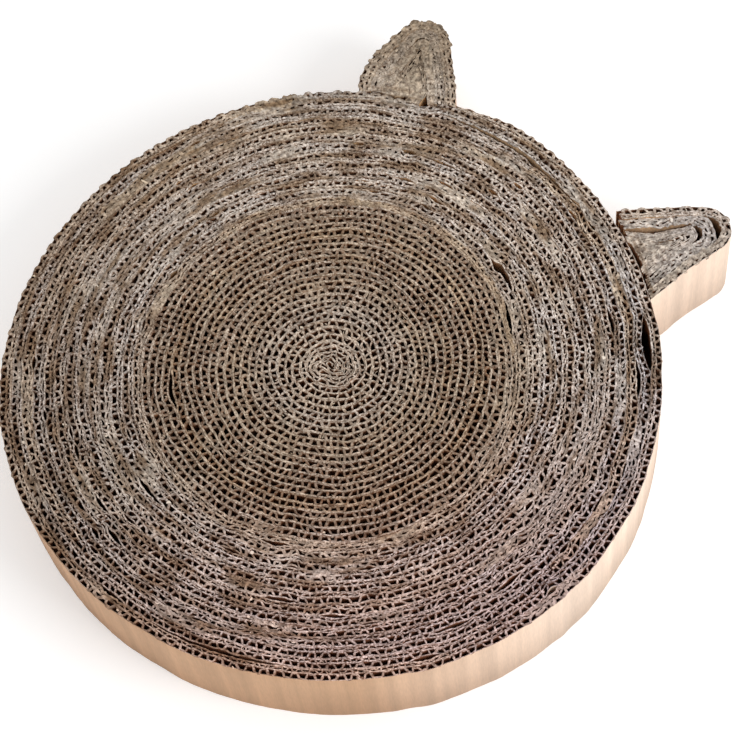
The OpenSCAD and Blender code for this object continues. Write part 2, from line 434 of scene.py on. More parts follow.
    def place(self, turn, share):
        """Plan position of places of the winding, with slits, crushes, outline and wander.

        The last strip gets thinner towards its free end, where it is pressed under the ear.
        """
        low = self.inner(turn)
        left = (self.end_turn - turn) * TURN * self.coil_r / self.tail_length
        tail = self.tail_share + (1 - self.tail_share) * ease(left)
        radius = low + (self.inner(turn + 1) - low) * share * tail
        angle = self.angle(turn)
        weight, across, squeeze = self.crush_weight(radius, angle)
        radius = radius - np.sum(weight * across * squeeze, axis=1) + self.parted(turn, share)
        radius = self.shaped(radius, angle) - self.pressed(radius, angle)
        near = bell(radius / self.roll_radius)
        x, y = radius * np.cos(angle), radius * np.sin(angle)
        right, up = np.cos(self.roll_angle), np.sin(self.roll_angle)
        squash = self.roll_squash * near * (x * right + y * up)
        x, y = x - squash * right, y - squash * up
        dx, dy = self.wander(x, y)
        rim = ease((radius - self.coil_r + self.calm_reach) / self.calm_fade)
        calm = 1 - self.rim_calm * rim
        roll_x, roll_y = self.roll_wander(x, y)
        return x + dx * calm + roll_x * near, y + dy * calm + roll_y * near

    def single_end(self, i):
        """Turn at which a single-wall strip ends: strips of about the same length."""
        if i < 0:
            return 0.0
        if i == SINGLE_COUNT - 1:
            return self.single_turns
        share = (i + 1 + SINGLE_STRAY_SHARE * np.sin(STRAY_ANGLE * (i + 1))) / SINGLE_COUNT
        return self.single_turns * np.sqrt(share)

    def double_end(self, i):
        """Turn at which a double-wall strip ends, from its share of the length wound."""
        share = 0 if i < 0 else DOUBLE_END_SHARES[i]
        ratio = self.coil_r / (self.sizes.single_zone / 2)
        grown = (np.sqrt(1 + share * (ratio**2 - 1)) - 1) / (ratio - 1)
        return self.single_turns + (self.end_turn - self.single_turns) * grown

    def half_joint(self, turn):
        """Half a joint as a share of a turn. The papers reach into the solids' joint."""
        return self.joint_share * self.sizes.joint / 2 / self.inner(turn + 0.5) / TURN

    def outside(self, angle):
        """Radius of the coil's outside in a direction."""
        back = (self.end_angle - angle) / TURN
        turn = self.end_turn - (back - np.floor(back))
        radius = self.inner(turn + 1) - self.sizes.glue
        return self.shaped(radius, angle) - self.pressed(radius, angle)


class Strip:
    """A stretch of the winding, from one turn to another, as a path for board."""

    def __init__(self, winding, start, end):
        self.winding = winding
        self.first = winding.length(start)
        self.length = winding.length(end) - self.first

    def turn(self, along):
        return self.winding.turn(self.first + along)

    def thickness(self, along):
        turn = self.turn(along)
        return self.winding.inner(turn + 1) - self.winding.inner(turn)

    def crush(self, along):
        return self.winding.crush(self.turn(along), np.full(len(along), 0.5))

    def fall(self, along, share):
        return self.winding.fall(self.turn(along), share)

    def place(self, along, share):
        """Places of the strip, also a little beyond the winding's ends."""
        turn = self.turn(along)
        beyond = self.first + along - self.winding.length(turn)
        turn = turn + beyond / (self.winding.inner(turn + 0.5) * TURN)
        return self.winding.place(turn, share)


# Corrugated board as a mesh

EDGE_SLOT, CELL_SLOT, LINING_SLOT, FACE_SLOT = 0, 1, 2, 3
# The levels of a cut edge: how far below its ridge it starts to bend and where its shoulders
# lie, less deep on a smooth outer liner, and the share of the bend that they have
BEND_DEPTH, SHOULDER_DEPTH, SMOOTH_SHOULDER, SHOULDER_BEND = 1.7 * MM, 0.45 * MM, 0.3, 0.7
# The ridge's thickness as a share of the shoulders', and what is added where it is crushed
RIDGE_SHARE, CRUSHED_RIDGE = 0.62, 0.35
# How many times thicker than the paper its base is at most
BASE_FLARE = 1.1
# Scraps: columns of points, limits of their share of the thickness, and in millimetres of
# their half length, half thickness, top and height, and the spread of their bend
SCRAP_COLUMNS = 4
SCRAP_SHARE, SCRAP_HALF, SCRAP_THIN = (0.05, 0.95), (0.5, 1.3), (0.14, 0.34)
SCRAP_TOP, SCRAP_HEIGHT, SCRAP_BEND = (-0.5, 0.25), (0.2, 0.5), 0.35
# They lie where the crush, with what is added, is above a random limit. Their ends taper.
SCRAP_LIMIT, SCRAP_ADDED, SCRAP_TAPER = (0.2, 1.2), 0.35, 0.7
# The shares that are longer and that are pale flakes, and how much larger these are
LONG_SCRAPS, LONGER = 0.12, 1.1
FLAKES, BROADER = 0.04, 2.2


def prism(size, levels, lift):
    """Quads of stacked rings of points, each ring a lift after the one below it.

    A ring runs along one side of a paper and back along the other. The walls come first,
    level by level, then the top and the bottom.
    """
    near = np.arange(size)
    after = np.roll(near, -1)
    wall = np.stack([near, after, after + lift, near + lift], axis=1)
    walls = [wall + level * lift for level in range(levels - 1)]
    span = np.arange(size // 2 - 1)
    cap = np.stack([span, span + 1, size - 2 - span, size - 1 - span], axis=1)
    return np.concatenate([*walls, cap + (levels - 1) * lift, cap[:, ::-1]])


class Sheets:
    """Collects papers that stand on edge and turns them into one mesh."""

    def __init__(self):
        self.parts = []
        self.count = 0

    def collect(self, points, quads, slots, smooth, crushed, lit_fibre_ridge):
        self.parts.append((points, quads + self.count, slots, smooth, crushed, lit_fibre_ridge))
        self.count += len(points)

    def add(self, path, along, share, thick, tops, bend, flare, crushed, sides, light):
        """One paper: a line through the board, given thickness and height.

        The paper's two sides lie half its thickness from the line, along the line's normal
        in the board's own plane. The sides run up through a few levels. Near the top they
        flare out to the shoulders of the fuzzy cut edge, which has a narrower ridge, except
        where it is crushed. The outer and the inner side have a slot each. The ridge's points
        get the given light as their mark and the levels below get none: this paints a
        highlight on the crest and shade on the shoulders, besides the paler fibres of the cut.
        """
        depth = path.thickness(along)
        run = np.gradient(along)
        rise = np.gradient(share) * depth
        slope = np.hypot(run, rise)
        line = np.array([along, share])
        off = np.array([-rise / slope * thick / 2, run / slope * thick / 2 / depth])
        bend = np.array(bend)
        top = np.concatenate([tops, tops[::-1]])

        def ring(bent, wider, height):
            """Both sides of the paper at one level: how far it is bent and how much wider."""
            middle = line + bend * bent
            both = [middle + off * wider, (middle - off * wider)[:, ::-1]]
            return np.stack([*path.place(*np.concatenate(both, axis=1)), height], axis=1)

        shoulder = SHOULDER_DEPTH * (SMOOTH_SHOULDER if sides[0] == FACE_SLOT else 1)
        levels = [
            ring(0, np.minimum((1 + flare) / 2, BASE_FLARE), np.zeros(len(top))),
            ring(0, 1, top - BEND_DEPTH),
            ring(SHOULDER_BEND, flare, top - shoulder),
            ring(1, flare * (RIDGE_SHARE + CRUSHED_RIDGE * crushed), top),
        ]
        count, size = len(along), len(top)
        walls = (len(levels) - 1) * size
        quads = prism(size, len(levels), size)
        number = np.arange(len(quads))
        slots = np.full(len(quads), EDGE_SLOT)
        slots[: walls - size] = np.tile(np.repeat(sides, count), len(levels) - 2)
        # The last values mark the ridge with the given light and the levels below with none:
        # painted highlight on the crest, painted shade on the shoulders
        self.collect(
            np.concatenate(levels), quads, slots,
            (number < walls) & (number % size % count < count - 1),
            np.tile(np.concatenate([crushed, crushed[::-1]]), len(levels)),
            light * (np.arange(walls + size) >= walls))

    def add_scraps(self, rng, path, count, height):
        """Short torn scraps of paper that lie in the cut edges and across the cells.

        Each is a bent, closed sliver of a few columns. Some are broader, pale flakes, which
        are marked as crushed twice over.
        """
        middle = rng.uniform(0, path.length, count)
        middle = middle[rng.uniform(*SCRAP_LIMIT, count) < SCRAP_ADDED + path.crush(middle)]
        count = len(middle)
        if count == 0:
            return
        share = rng.uniform(*SCRAP_SHARE, count)
        turned = rng.uniform(0, np.pi, count)[:, None]
        half = rng.uniform(*SCRAP_HALF, count)
        half = half * (1 + LONGER * (rng.uniform(size=count) < LONG_SCRAPS))
        bend = rng.normal(0, SCRAP_BEND, count)[:, None] * MM
        flake = rng.uniform(size=count) < FLAKES
        thin = rng.uniform(*SCRAP_THIN, count) * (1 + BROADER * flake) * MM
        columns = np.linspace(-1, 1, SCRAP_COLUMNS)
        columns = np.concatenate([columns, columns[::-1]])
        side = (1 - SCRAP_TAPER * columns**2) * np.repeat([1, -1], SCRAP_COLUMNS)
        u = half[:, None] * MM * columns
        v = bend * columns**2 - side * thin[:, None]
        along = middle[:, None] + u * np.cos(turned) - v * np.sin(turned)
        rise = (u * np.sin(turned) + v * np.cos(turned)) / path.thickness(middle)[:, None]
        x, y = path.place(along.ravel(), (share[:, None] + rise).ravel())
        top = height(middle, share) + rng.uniform(*SCRAP_TOP, count) * MM
        low = top - rng.uniform(*SCRAP_HEIGHT, count) * MM
        size = len(columns)
        faces = prism(size, 2, count * size)
        quads = (np.arange(count)[:, None, None] * size + faces).reshape(-1, 4)
        self.collect(
            np.concatenate([np.stack([x, y, np.repeat(z, size)], axis=1) for z in (low, top)]),
            quads, np.full(len(quads), EDGE_SLOT), np.full(len(quads), False),
            np.tile(np.repeat(1.0 + flake, size), 2), np.ones(2 * count * size))

    def make(self, name, tone, materials):
        """The mesh object, with its crushed places, its marks of pale fibres and painted crest
        highlight on the ridges, and tone as attributes.
        """
        arrays = [np.concatenate(parts) for parts in zip(*self.parts)]
        points, quads, slots, smooth, crushed, lit_fibre_ridge = arrays
        mesh = bpy.data.meshes.new(name)
        mesh.vertices.add(len(points))
        mesh.vertices.foreach_set("co", points.ravel())
        mesh.loops.add(quads.size)
        mesh.loops.foreach_set("vertex_index", quads.ravel())
        mesh.polygons.add(len(quads))
        mesh.polygons.foreach_set("loop_start", np.arange(0, quads.size, 4))
        mesh.polygons.foreach_set("material_index", slots)
        mesh.polygons.foreach_set("use_smooth", smooth)
        mesh.update(calc_edges=True)
        marks = {"crushed": crushed, "lit_fibre_ridge": lit_fibre_ridge, "tone": np.full(len(points), tone)}
        for label, values in marks.items():
            layer = mesh.attributes.new(label, "FLOAT", "POINT")
            layer.data.foreach_set("value", values.astype(np.float32))
        for material in materials:
            mesh.materials.append(material)
        if mesh.validate():
            raise RuntimeError(f"{name} has faulty faces")
        piece = bpy.data.objects.new(name, mesh)
        bpy.context.scene.collection.objects.link(piece)
        return piece


# Papers of a board

# Radius at which the inner disc's look ends, and the distance over which it fades
DISC_EDGE, DISC_FADE = 118 * MM, 22 * MM
LINER_FRAY, LARGE_FRAY, SMALL_FRAY = 1.15, 1.2, 0.92
# Wear: the direction towards which it grows, its value at the middle, the distances over
# which it grows by 1 on the far side and falls by 1 on the near side, and the most there,
# and then what the disc and the roll add, with the roll's radius
WORN_ANGLE, WORN_MIDDLE, FAR_SPAN, NEAR_SPAN, MOST_WORN = 97, 0.4, 0.308, 0.4625, 1.25
WORN_DISC, WORN_ROLL, WORN_ROLL_R = 0.16, -1.2, 17 * MM
# Steps along a liner, and the length of its sharp ends at the rim
LINER_STEP, CREASE = 1.6 * MM, 0.03 * MM
# How much lower the outermost liner ends, at which sides, from where on and how soon
RIM_DROP, DROP_SIDES, DROP_START, DROP_FADE = 1.3 * MM, (90, 130), 45 * MM, 25 * MM
# How uneven its strip's top is, and how crushed and how frayed it is, as shares
RIM_UNEVEN, RIM_CRUSH, RIM_FRAY = 0.25, 0.2, 0.35
# Buckles of a liner: their length, and their depth where it is even and what crushing adds
BUCKLE_STEP, BUCKLE, CRUSHED_BUCKLE = 2.6 * MM, 0.05, 0.28
# A strip's top: the step and length of its slow waves, what is taken off them, their limits
# and size, and how much lower it is where it is crushed
TOP_STEP, TOP_WAVE, TOP_OFF, TOP_LIMITS = 4 * MM, 26 * MM, 0.9, (-3, 0.2)
TOP_SIZE, TOP_CRUSH = 0.4, 0.5
# Height of ragged edges: the length and size of slow waves, the length of quick ones, the
# limits of both, and the sizes of quick ones on an outer liner, other liners and flutes
SLOW_WAVE, SLOW_SIZE, QUICK_WAVE, RAGGED_LIMITS = 35 * MM, 0.12 * MM, 1.6 * MM, (-2, 2)
OUTER_RAGGED, LINER_RAGGED, FLUTE_RAGGED = 0.05 * MM, 0.16 * MM, 0.18 * MM
# How much lower flutes end than liners, and how much more their edges bend
FLUTE_DROP, FLUTE_BEND = 0.1 * MM, 1.2
# How a cut edge bends: the lengths of its waves along the strip and across it, and its size
# where it is even and what crushing adds
ALONG_WAVE, ACROSS_WAVE, EVEN_BEND, CRUSHED_BEND = 2.2 * MM, 1.8 * MM, 0.7, 1.2
# How thick it is: the length and size of its waves and what crushing adds to these, a plain
# share and what wear and its square add to it, what crushing adds, and the least
FRAY_WAVE, FRAY_SIZE, CRUSHED_SIZE = 1.5 * MM, 0.36, 0.3
PLAIN_FRAY, WEAR_FRAY, SQUARE_FRAY, CRUSHED_FRAY, LEAST_FRAY = 0.9, 0.25, 0.5, 0.4, 0.8
# How light flutes are painted, as crest highlight, and those in the disc, which get darker from a
# radius on
FLUTE_LIGHT, DISC_LIGHT, LIGHT_START, LIGHT_FADE = 0.78, 0.45, 25 * MM, 45 * MM
LARGE_STEPS, SMALL_STEPS = 14, 10
# The flutes: how uneven their lengths are, their third harmonic, and the powers that make
# their inner crests wider than their outer ones
KNOT_SPREAD, KNOT_LIMIT = 0.12, 0.25
FLAT_CREST = 0.32
LARGE_POWER, SMALL_POWER = 1.35, 1.05
# Weak flutes: the length in waves and the limit of the curve that picks them, and how much
# lower they are, with what crushing adds. All crushed flutes are lower too.
WEAK_WAVE, WEAK_LIMIT, WEAK, CRUSHED_WEAK, CRUSHED_LOWER = 1.3, 1.0, 0.4, 0.4, 0.25
# How flutes lean over: the length in waves and the size, for all and what crushing adds
TILT_WAVE, TILT, CRUSHED_TILT_WAVE, CRUSHED_TILT = 3, 0.04, 0.9, 0.2
# How deep flutes reach into the liners, and the least half height as a share
FLUTE_OVERLAP, LEAST_HALF = 0.1 * MM, 0.02
# How much thicker their cut edge is: on the flanks, close to the liners and everywhere
FLANK_WIDER, CLOSE_WIDER, ALL_WIDER = 0.3, 1.5, 0.85
# Each board as its liners, each with a share of the thickness, and its rows of flutes, each
# with the shares between which it runs and whether its waves are the large ones
SINGLE_WALL = ((0, 1), ((0, 1, True),))
DOUBLE_WALL = ((0, 0.39, 1), ((0, 0.39, False), (0.39, 1, True)))
CRUSHED_WALL = ((0, 0.5, 1), ((0, 0.5, False), (0.5, 1, False)))
CORE_WALL = (
    (0.2, 0.47, 0.74, 1),
    ((0, 0.2, True), (0.2, 0.47, False), (0.47, 0.74, False), (0.74, 1, False)),
)


def strip_top(rng, path, uneven):
    """Height of a strip's top along its length: slow waves, and lower where it is crushed."""
    spots = np.linspace(0, path.length, max(4, round(path.length / TOP_STEP)))
    slow = np.clip(wobble(rng, spots, TOP_WAVE) - TOP_OFF, *TOP_LIMITS) * TOP_SIZE
    fall = (slow - TOP_CRUSH * path.crush(spots)) * uneven * MM

    def top(along, share):
        return STRIP_H + np.interp(along, spots, fall) - path.fall(along, share)

    return top


def across(x, y, degrees):
    """How far places lie towards a direction, counted from that of the photograph's view."""
    angle = np.radians(VIEW_ANGLE + degrees)
    return x * np.cos(angle) + y * np.sin(angle)


def worn(path, along):
    """How worn the cut edge is: more towards the photograph's far side, and in the disc.

    The roll at the middle is the least worn.
    """
    x, y = path.place(along, np.full(len(along), 0.5))
    radius = np.hypot(x, y)
    disc = WORN_DISC * ease((DISC_EDGE - radius) / DISC_FADE)
    roll = WORN_ROLL * bell(radius / WORN_ROLL_R)
    far = across(x, y, WORN_ANGLE)
    worn_side = WORN_MIDDLE + far / np.where(far > 0, FAR_SPAN, NEAR_SPAN)
    return np.clip(worn_side, 0, MOST_WORN) + (disc + roll)


def flute_light(path):
    """How light the flutes of a single-wall strip are, as painted crest highlight: less so further
    from the middle.
    """
    x, y = path.place(np.array([path.length / 2]), np.array([0.5]))
    far = ease((np.hypot(x, y)[0] - LIGHT_START) / LIGHT_FADE)
    return FLUTE_LIGHT * (1 - far) + DISC_LIGHT * far


def rim_drop(path, along):
    """How much lower the outermost liner ends on the sides away from the camera."""
    x, y = path.place(along, np.full(len(along), 0.5))
    away = np.maximum(*[across(x, y, side) for side in DROP_SIDES])
    return RIM_DROP * ease((away - DROP_START) / DROP_FADE)


def ragged_top(rng, along, height, ragged):
    """Height of a cut edge: slow waves along the strip, and short ragged ones."""
    slow = np.clip(wobble(rng, along, SLOW_WAVE), *RAGGED_LIMITS) * SLOW_SIZE
    quick = np.clip(wobble(rng, along, QUICK_WAVE), *RAGGED_LIMITS) * ragged
    return height + slow + quick


def ragged_bend(rng, along, fray, thickness, crushed):
    """Sideways bend of a cut edge, along the strip and across it, more where it is crushed."""
    fray = fray * (EVEN_BEND + CRUSHED_BEND * crushed)
    bend = wobble(rng, along, ALONG_WAVE) * fray
    return bend, wobble(rng, along, ACROSS_WAVE) * fray / thickness


def frayed(rng, path, along, flare, crushed):
    """How many times thicker a cut edge is: uneven, and more where it is worn or crushed."""
    uneven = (FRAY_SIZE + CRUSHED_SIZE * crushed) * wobble(rng, along, FRAY_WAVE)
    wear = worn(path, along)
    wider = PLAIN_FRAY + WEAR_FRAY * wear + SQUARE_FRAY * wear * np.abs(wear)
    return np.maximum(flare * wider + uneven + CRUSHED_FRAY * crushed, LEAST_FRAY)


def flute_line(rng, path, low, high, large, sizes):
    """The line of a fluted paper: a wave between two liners, with uneven, leaning flutes.

    The wave is a cosine less a little of its third harmonic, which steepens its flanks. It
    is raised to a power, so that its inner crests are wide and its outer ones narrow. A
    crushed stretch has lower waves that lean over. The last value is how much thicker the
    cut edge is: most where the wave comes close to a liner, and not at all on the crests.
    """
    wave = sizes.large_flute if large else sizes.small_flute
    power = LARGE_POWER if large else SMALL_POWER
    count = max(2, round(path.length / wave))
    waves = np.linspace(0, count, count * (LARGE_STEPS if large else SMALL_STEPS) + 1)
    knots = np.arange(count + 1)
    knots = knots + np.clip(rng.normal(0, KNOT_SPREAD, count + 1), -KNOT_LIMIT, KNOT_LIMIT)
    knots = (knots - knots[0]) / (knots[-1] - knots[0])
    along = np.interp(waves, np.arange(count + 1), knots) * path.length
    crushed = path.crush(along)
    phase = TURN * (waves + rng.uniform())
    square = (np.cos(phase) - FLAT_CREST * np.cos(3 * phase)) / (1 - FLAT_CREST)
    square = np.clip(square, -1, 1)
    height = 2 * ((1 + square) / 2) ** power - 1
    weak = np.clip(np.abs(wobble(rng, along, WEAK_WAVE * wave)) - WEAK_LIMIT, 0, 1)
    weak = weak * (WEAK + CRUSHED_WEAK * crushed)
    height = height * (1 - weak - CRUSHED_LOWER * crushed)
    tilt = wobble(rng, along, TILT_WAVE * wave) * TILT
    tilt = tilt + crushed * wobble(rng, along, CRUSHED_TILT_WAVE * wave) * CRUSHED_TILT
    along = np.clip(along + tilt * wave * height, 0, path.length)
    margin = sizes.liner + sizes.medium / 2 - FLUTE_OVERLAP
    middle, half = (low + high) / 2, (high - low) / 2 - margin / path.thickness(along)
    wider = (1 - height**2) * (FLANK_WIDER + CLOSE_WIDER * height**2)
    return along, middle + np.maximum(half, LEAST_HALF) * height, crushed, wider


def build_board(rng, path, board, sizes, rim=False, overlap=(0, 0)):
    """All papers of one strip of board along its path.

    The outer liner of a strip at the rim reaches over its ends by the given overlaps.
    """
    liners, flutes = board
    sheets = Sheets()
    top = strip_top(rng, path, RIM_UNEVEN if rim else 1)
    edge = sizes.liner / 2
    for share in liners:
        outer = rim and share == 1
        count = max(8, round(path.length / LINER_STEP))
        first, last = (-overlap[0], path.length + overlap[1]) if outer else (0, path.length)
        along = np.linspace(first, last, count + 1)
        if outer:
            along = np.insert(along, [1, count], [first + CREASE, last - CREASE])
        depth = path.thickness(along)
        crushed = path.crush(along) * (RIM_CRUSH if outer else 1)
        buckle = wobble(rng, along, BUCKLE_STEP) * (BUCKLE + CRUSHED_BUCKLE * crushed) * MM
        if share in (0, 1):
            buckle = (np.abs(buckle) + edge) * (1 - 2 * share)
        line = share + buckle / depth
        fray = sizes.fray * (RIM_FRAY if outer else 1)
        tops = ragged_top(rng, along, top(along, line), OUTER_RAGGED if outer else LINER_RAGGED)
        if outer:
            tops = tops - rim_drop(path, along)
        bend = ragged_bend(rng, along, fray, depth, crushed)
        flare = np.ones(len(along))
        if not outer:
            flare = frayed(rng, path, along, sizes.flare * LINER_FRAY, crushed)
        outside = FACE_SLOT if outer else LINING_SLOT if share == 1 else CELL_SLOT
        sides = (outside, LINING_SLOT if share == 0 else CELL_SLOT)
        sheets.add(path, along, line, sizes.liner, tops, bend, flare, crushed, sides, 1)
    for low, high, large in flutes:
        along, line, crushed, wider = flute_line(rng, path, low, high, large, sizes)
        tops = ragged_top(rng, along, top(along, line) - FLUTE_DROP, FLUTE_RAGGED)
        bend = ragged_bend(rng, along, sizes.fray * FLUTE_BEND, path.thickness(along), crushed)
        size = sizes.flare * (LARGE_FRAY if large else SMALL_FRAY)
        flare = frayed(rng, path, along, size, crushed) * (ALL_WIDER + wider)
        sides = (CELL_SLOT, CELL_SLOT)
        # Painted crest highlight: how light the flutes' ridges are painted
        light = flute_light(path) if board is SINGLE_WALL else FLUTE_LIGHT
        sheets.add(path, along, line, sizes.medium, tops, bend, flare, crushed, sides, light)
    sheets.add_scraps(rng, path, round(path.length / sizes.scrap_step), top)
    return sheets


# The ears

EAR_PIECES = ("outer_strip", "second_strip", "third_strip", "fourth_strip", "core")
DOUBLE_T = 5.7 * MM
CRUSHED_SHARE = 0.27
FOLD_R = 4 * MM
CREASE_R = 0.6 * MM

# The looks of the ears, with all lengths in millimetres. An ear's turn is its way from the
# middle between both, and its group is as for the other pieces. The hollow lies under its
# outer strip's tip. Its sides are bowed out by the bulges of its left and its right side,
# each at its foot and halfway up, and its tip leans to the right. For each piece there is a
# board, and pairs of a share of its length, from its right seat over the tip, and how crushed
# it is there. Each parting opens a gap outside one of the pieces, or closes it: its number,
# the middle and half of its length as shares, its width and how much lower the piece lies
# there. The seats are the gaps between the pieces and the coil, and the notches are what the
# gaps at the left side are wider.
LEFT_LOOK = {
    "side": "left",
    "turn": 1,
    "group": ("ear_board", (0.15, 0.12), 3),
    "hollow": 0,
    "bulges": ((0.3, 5.8), (0.2, 1.3)),
    "lean": 0.2,
    "boards": (CRUSHED_WALL,) * 4 + (CORE_WALL,),
    "crushes": (
        ((0, 0.35), (0.3, 0.4), (0.5, 0.8), (0.7, 0.5), (1, 0.4)),
        ((0, 0.4), (0.4, 0.6), (1, 0.5)),
        ((0, 0.5), (0.5, 0.8), (1, 0.6)),
        ((0, 0.7), (0.5, 0.8), (1, 0.7)),
        ((0, 0.9), (1, 0.9)),
    ),
    "partings": (
        (1, 0.64, 0.1, 0.4, 0.5), (2, 0.62, 0.22, 0.6, 1.0), (3, 0.7, 0.1, 0.3, 0.5),
        (3, 0.0, 0.1, 5.0, 0),
    ),
    "seats": (0.6, 1.1, 1.3, 1.0, 1.2),
    "notches": (0, 0, 0, 0, 0),
}
RIGHT_LOOK = {
    "side": "right",
    "turn": -1,
    "group": ("ear_board", (0.15, 0.12), 4),
    "hollow": 5,
    "bulges": ((2.4, 1.8), (-0.4, -1.2)),
    "lean": 0,
    "boards": (DOUBLE_WALL,) + (CRUSHED_WALL,) * 3 + (CORE_WALL,),
    "crushes": (
        ((0, 1), (0.42, 1), (0.5, 0.5), (0.6, 0.2), (1, 0.15)),
        ((0, 1), (0.4, 0.9), (0.5, 0.5), (0.6, 0.6), (1, 0.8)),
        ((0, 0.9), (0.4, 0.7), (0.6, 0.5), (1, 0.9)),
        ((0, 1), (0.5, 0.7), (1, 1)),
        ((0, 1), (1, 1)),
    ),
    "partings": (
        (1, 0.66, 0.14, -2.4, 0), (1, 0.5, 0.16, -1.0, 0), (2, 0.8, 0.24, 1.5, 4.6),
        (2, 0.48, 0.07, 2.6, 0.5), (4, 0.62, 0.07, 0.8, 1.2), (2, 0.05, 0.12, 1.2, 0),
    ),
    "seats": (0.7, 1.6, 2.8, 1.2, 2.8),
    "notches": (4.2, 1.2, 0, 0, 0),
}


class Fold:
    """A strip folded round an ear's tip, as a path for board.

    It runs from the right seat up the side, round the tip and down to the left seat. Its
    outer and inner faces are lines of the same make, and a place lies between them.
    """

    tip_steps, side_steps, seat_rounds = 40, 24, 6
    parting_reach, fall_reach, least_depth = 1.3, 1.2, 1 * MM
    # The core's inner line is nearly flat and less tall
    rib_width, rib_drop = 0.03, 5 * MM
    # Bulges: where they start and end, from the rim and from the tip's centre, and the
    # distance from the axis at which they are as given
    foot_depth, tip_height, bow_width = 4 * MM, 8 * MM, 22 * MM
    wander_share = 0.7

    def __init__(self, winding, sizes, look, number):
        self.winding = winding
        self.sizes = sizes
        self.ear_angle = (np.pi + look["turn"] * sizes.spread) / 2
        self.look = look
        self.number = number
        self.centre = winding.coil_r + sizes.reach - sizes.tip_radius
        reach, tip, next_reach, next_tip = self.radii()
        self.outer = self.line(reach, tip)
        self.inner = self.ribs() if next_reach is None else self.line(next_reach, next_tip)
        middle = (self.outer + self.inner) / 2
        steps = np.hypot(*np.diff(middle, axis=0).T)
        self.table = np.concatenate([[0], np.cumsum(steps)])
        self.length = self.table[-1]
        self.depths = np.hypot(*(self.outer - self.inner).T)

    def radii(self):
        """The reach and tip radius of the strip's outer face and of its inner face.

        The crushed strips fill each other's folds, so theirs follow on each other.
        """
        sizes, glue = self.sizes, self.winding.sizes.glue
        inside = sizes.tip_radius - 2 * self.winding.sizes.double_pitch
        inside += (sizes.reach - sizes.tip_radius) * np.sin(sizes.flare)
        crushed = CRUSHED_SHARE * inside
        thicknesses = (DOUBLE_T, DOUBLE_T, crushed, crushed)[: self.number + 1]
        reach, tip = sizes.tip_radius, sizes.tip_radius
        hollow = self.look["hollow"] * MM * np.sin(sizes.flare) / (1 - np.sin(sizes.flare))
        for k, thickness in enumerate(thicknesses):
            outer = reach, tip
            reach -= thickness
            tip = max(CREASE_R, tip - thickness)
            inner = reach, tip
            reach -= glue
            tip = max(FOLD_R if k < 2 else CREASE_R, tip - glue + (hollow if k == 0 else 0))
        if self.number < len(thicknesses):
            return *outer, *inner
        return reach, tip, None, None

    def side_x(self, reach, y):
        flare = self.sizes.flare
        return (reach + (self.centre - y) * np.sin(flare)) / np.cos(flare)

    def seat(self, reach, side):
        """Where a side meets the coil, found again from its last place each round."""
        y = self.winding.coil_r
        for _ in range(self.seat_rounds):
            x = side * self.side_x(reach, y)
            radius = self.winding.outside(self.ear_angle - np.arctan2(x, y))
            radius += self.look["seats"][self.number] * MM
            radius += (side < 0) * self.look["notches"][self.number] * MM
            y = np.sqrt(radius**2 - x**2)
        return np.array([side * self.side_x(reach, y), y])

    def line(self, reach, tip_radius):
        """Up the right side, round the tip and down the left side, in the ear's own plane."""
        flare = self.sizes.flare
        y = self.centre - (tip_radius - reach) / np.sin(flare)
        angles = np.linspace(flare, np.pi - flare, self.tip_steps + 1)
        tip = np.stack([tip_radius * np.cos(angles), y + tip_radius * np.sin(angles)], axis=1)
        share = np.linspace(0, 1, self.side_steps, endpoint=False)[:, None]
        right = self.seat(reach, 1) * (1 - share) + tip[0] * share
        left = (self.seat(reach, -1) * (1 - share) + tip[-1] * share)[::-1]
        return np.concatenate([right, tip, left])

    def ribs(self):
        """The inner line of the core: the outer one drawn in to the axis, and less tall."""
        x, y = self.outer.T
        up = (y - y.min()) / (y.max() - y.min())
        return np.stack([x * self.rib_width, y - self.rib_drop * up**3], axis=1)

    def thickness(self, along):
        return np.interp(along, self.table, self.depths)

    def crush(self, along):
        shares, values = np.transpose(self.look["crushes"][self.number])
        return np.interp(along / self.length, shares, values)

    def beside(self, along, share, size, reach):
        """Sum of the partings' sizes: a lens along each, and less for places further in."""
        total = np.zeros(len(along))
        for parting in self.look["partings"]:
            number, middle, half = parting[:3]
            if self.number < number:
                continue
            deep = self.number + 1 - share - number
            lens = np.clip(1 - ((along / self.length - middle) / half) ** 2, 0, 1) ** LENS_POWER
            total += parting[size] * MM * lens * np.exp(-deep / reach)
        return total

    def fall(self, along, share):
        """How much lower the cut edges lie inside the partings."""
        return self.beside(along, share, 4, self.fall_reach)

    def place(self, along, share):
        depth = np.maximum(self.thickness(along), self.least_depth)
        share = share - self.beside(along, share, 3, self.parting_reach) / depth
        x, y = [
            np.interp(along, self.table, self.inner[:, i]) * (1 - share)
            + np.interp(along, self.table, self.outer[:, i]) * share
            for i in (0, 1)
        ]
        base = self.winding.coil_r - self.foot_depth
        up = np.clip((y - base) / (self.centre + self.tip_height - base), 0, 1)
        left, right = self.look["bulges"]
        foot, middle = [np.where(x < 0, *pair) * MM for pair in zip(left, right)]
        bow = foot * (1 - up) ** 2 + middle * 4 * up * (1 - up)
        x = x * (1 + bow / self.bow_width) + self.look["lean"] * MM * up**2
        turn = self.ear_angle - np.pi / 2
        px = x * np.cos(turn) - y * np.sin(turn)
        py = x * np.sin(turn) + y * np.cos(turn)
        dx, dy = self.winding.wander(px, py)
        return px + dx * self.wander_share, py + dy * self.wander_share


# Materials

GREY_TINT = shade(238, 241, 244)
STRAW_TINT = shade(248, 233, 208)
STREAK_TINT = shade(190, 174, 157)
STREAK_REACH = 0.3
